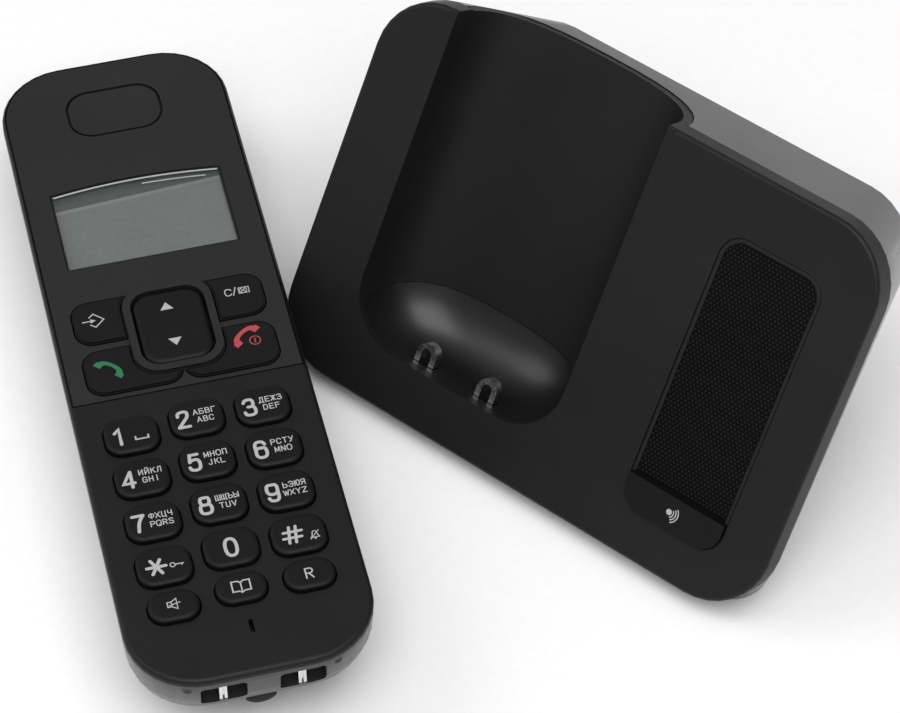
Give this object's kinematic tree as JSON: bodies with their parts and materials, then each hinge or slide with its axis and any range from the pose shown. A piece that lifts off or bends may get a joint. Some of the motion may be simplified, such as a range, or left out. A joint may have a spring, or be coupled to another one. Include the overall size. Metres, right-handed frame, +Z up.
{
  "type": "cordless phone with charging base",
  "caption": "Cordless phone: a slim keypad handset lying face up beside its sloping charging base, with cradle, sprung contacts, speaker grille and page key.",
  "frame": {"origin": "centre of the base's flat underside", "axes": "+X to the right seen from the front of the base, +Y to the back of the base, +Z up; the handset lies on the same surface, turned by 51.35 degrees"},
  "size_m": [0.1942, 0.1547, 0.0752],
  "materials": {
    "satin_black_plastic": "satin",
    "gloss_black_plastic": "gloss",
    "black_mesh": "matt mesh",
    "key_plastic": "satin",
    "circuit_board": "satin",
    "tinned_steel": "satin",
    "internal_plastic": "matt",
    "plated_contact": "bright",
    "black_rubber": "matt",
    "zinc_screw": "satin",
    "housing_plastic": "satin",
    "faceplate_plastic": "satin",
    "rear_plastic": "satin",
    "clear_lens": "gloss",
    "display_glass": "satin",
    "speaker_metal": "satin",
    "keypad_silicone": "matt",
    "cell_sleeve": "gloss",
    "spring_steel": "bright"
  },
  "bodies": {
    "base": {"base_front_shell": "satin_black_plastic", "base_rear_shell": "gloss_black_plastic", "cradle_insert": "gloss_black_plastic", "grille_mesh": "black_mesh", "base_board": "circuit_board", "radio_shield": "tinned_steel", "page_switch": "internal_plastic", "base_buzzer": "internal_plastic", "contact_holder": "internal_plastic", "line_socket": "internal_plastic", "power_socket": "internal_plastic", "base_feet": "black_rubber", "base_screws": "zinc_screw"},
    "handset": {"handset_front_housing": "housing_plastic", "handset_faceplate": "faceplate_plastic", "handset_rear_housing": "rear_plastic", "display_lens": "clear_lens", "display_glass": "display_glass", "display_holder": "internal_plastic", "earpiece_cap": "faceplate_plastic", "earpiece_speaker": "speaker_metal", "microphone": "speaker_metal", "ringer_speaker": "speaker_metal", "keypad_mat": "keypad_silicone", "handset_board": "circuit_board", "battery_cells": "cell_sleeve", "battery_springs": "spring_steel", "charge_strips": "plated_contact", "handset_foot": "black_rubber", "handset_screws": "zinc_screw"},
    "key_1_body": {"key_1": "key_plastic"},
    "key_2_body": {"key_2": "key_plastic"},
    "key_3_body": {"key_3": "key_plastic"},
    "key_4_body": {"key_4": "key_plastic"},
    "key_5_body": {"key_5": "key_plastic"},
    "key_6_body": {"key_6": "key_plastic"},
    "key_7_body": {"key_7": "key_plastic"},
    "key_8_body": {"key_8": "key_plastic"},
    "key_9_body": {"key_9": "key_plastic"},
    "key_star_body": {"key_star": "key_plastic"},
    "key_0_body": {"key_0": "key_plastic"},
    "key_hash_body": {"key_hash": "key_plastic"},
    "key_mute_body": {"key_mute": "key_plastic"},
    "key_book_body": {"key_book": "key_plastic"},
    "key_recall_body": {"key_recall": "key_plastic"},
    "menu_key_body": {"menu_key": "key_plastic"},
    "clear_key_body": {"clear_key": "key_plastic"},
    "talk_key_body": {"talk_key": "key_plastic"},
    "end_key_body": {"end_key": "key_plastic"},
    "nav_key_body": {"nav_key": "key_plastic"},
    "page_key_body": {"page_key": "key_plastic"},
    "battery_cover_body": {"battery_cover": "rear_plastic"},
    "charge_contact_left_body": {"charge_contact_left": "plated_contact"},
    "charge_contact_right_body": {"charge_contact_right": "plated_contact"}
  },
  "joints": [
    {"name": "handset_lift", "type": "slide", "parent": "base", "child": "handset", "axis": [0, 0, 1], "range_m": [0, 0.15]},
    {"name": "key_1_press", "type": "slide", "parent": "handset", "child": "key_1_body", "axis": [0, 0, -1], "range_m": [0, 0.0007], "stiffness_N_per_m": 900, "springref_m": -0.0006},
    {"name": "key_2_press", "type": "slide", "parent": "handset", "child": "key_2_body", "axis": [0, 0, -1], "range_m": [0, 0.0007], "stiffness_N_per_m": 900, "springref_m": -0.0006},
    {"name": "key_3_press", "type": "slide", "parent": "handset", "child": "key_3_body", "axis": [0, 0, -1], "range_m": [0, 0.0007], "stiffness_N_per_m": 900, "springref_m": -0.0006},
    {"name": "key_4_press", "type": "slide", "parent": "handset", "child": "key_4_body", "axis": [0, 0, -1], "range_m": [0, 0.0007], "stiffness_N_per_m": 900, "springref_m": -0.0006},
    {"name": "key_5_press", "type": "slide", "parent": "handset", "child": "key_5_body", "axis": [0, 0, -1], "range_m": [0, 0.0007], "stiffness_N_per_m": 900, "springref_m": -0.0006},
    {"name": "key_6_press", "type": "slide", "parent": "handset", "child": "key_6_body", "axis": [0, 0, -1], "range_m": [0, 0.0007], "stiffness_N_per_m": 900, "springref_m": -0.0006},
    {"name": "key_7_press", "type": "slide", "parent": "handset", "child": "key_7_body", "axis": [0, 0, -1], "range_m": [0, 0.0007], "stiffness_N_per_m": 900, "springref_m": -0.0006},
    {"name": "key_8_press", "type": "slide", "parent": "handset", "child": "key_8_body", "axis": [0, 0, -1], "range_m": [0, 0.0007], "stiffness_N_per_m": 900, "springref_m": -0.0006},
    {"name": "key_9_press", "type": "slide", "parent": "handset", "child": "key_9_body", "axis": [0, 0, -1], "range_m": [0, 0.0007], "stiffness_N_per_m": 900, "springref_m": -0.0006},
    {"name": "key_star_press", "type": "slide", "parent": "handset", "child": "key_star_body", "axis": [0, 0, -1], "range_m": [0, 0.0007], "stiffness_N_per_m": 900, "springref_m": -0.0006},
    {"name": "key_0_press", "type": "slide", "parent": "handset", "child": "key_0_body", "axis": [0, 0, -1], "range_m": [0, 0.0007], "stiffness_N_per_m": 900, "springref_m": -0.0006},
    {"name": "key_hash_press", "type": "slide", "parent": "handset", "child": "key_hash_body", "axis": [0, 0, -1], "range_m": [0, 0.0007], "stiffness_N_per_m": 900, "springref_m": -0.0006},
    {"name": "key_mute_press", "type": "slide", "parent": "handset", "child": "key_mute_body", "axis": [0, 0, -1], "range_m": [0, 0.0007], "stiffness_N_per_m": 900, "springref_m": -0.0006},
    {"name": "key_book_press", "type": "slide", "parent": "handset", "child": "key_book_body", "axis": [0, 0, -1], "range_m": [0, 0.0007], "stiffness_N_per_m": 900, "springref_m": -0.0006},
    {"name": "key_recall_press", "type": "slide", "parent": "handset", "child": "key_recall_body", "axis": [0, 0, -1], "range_m": [0, 0.0007], "stiffness_N_per_m": 900, "springref_m": -0.0006},
    {"name": "menu_key_press", "type": "slide", "parent": "handset", "child": "menu_key_body", "axis": [0, 0, -1], "range_m": [0, 0.0007], "stiffness_N_per_m": 900, "springref_m": -0.0006},
    {"name": "clear_key_press", "type": "slide", "parent": "handset", "child": "clear_key_body", "axis": [0, 0, -1], "range_m": [0, 0.0007], "stiffness_N_per_m": 900, "springref_m": -0.0006},
    {"name": "talk_key_press", "type": "slide", "parent": "handset", "child": "talk_key_body", "axis": [0, 0, -1], "range_m": [0, 0.0007], "stiffness_N_per_m": 900, "springref_m": -0.0006},
    {"name": "end_key_press", "type": "slide", "parent": "handset", "child": "end_key_body", "axis": [0, 0, -1], "range_m": [0, 0.0007], "stiffness_N_per_m": 900, "springref_m": -0.0006},
    {"name": "nav_key_rock", "type": "hinge", "parent": "handset", "child": "nav_key_body", "pos_m": [-0.06637, -0.05414, 0.0207], "axis": [0.6246, 0.781, 0], "range_deg": [-2.5, 2.5], "stiffness_Nm_per_rad": 0.05},
    {"name": "battery_cover_slide", "type": "slide", "parent": "handset", "child": "battery_cover_body", "axis": [0.781, -0.6246, 0], "range_m": [0, 0.012]},
    {"name": "page_key_press", "type": "slide", "parent": "base", "child": "page_key_body", "axis": [0, 0.8434, -0.5373], "range_m": [0, 0.0008], "stiffness_N_per_m": 700, "springref_m": -0.0006},
    {"name": "charge_contact_left_press", "type": "slide", "parent": "base", "child": "charge_contact_left_body", "axis": [0, -0.5373, -0.8434], "range_m": [0, 0.003], "stiffness_N_per_m": 180, "springref_m": -0.001},
    {"name": "charge_contact_right_press", "type": "slide", "parent": "base", "child": "charge_contact_right_body", "axis": [0, -0.5373, -0.8434], "range_m": [0, 0.003], "stiffness_N_per_m": 180, "springref_m": -0.001}
  ]
}
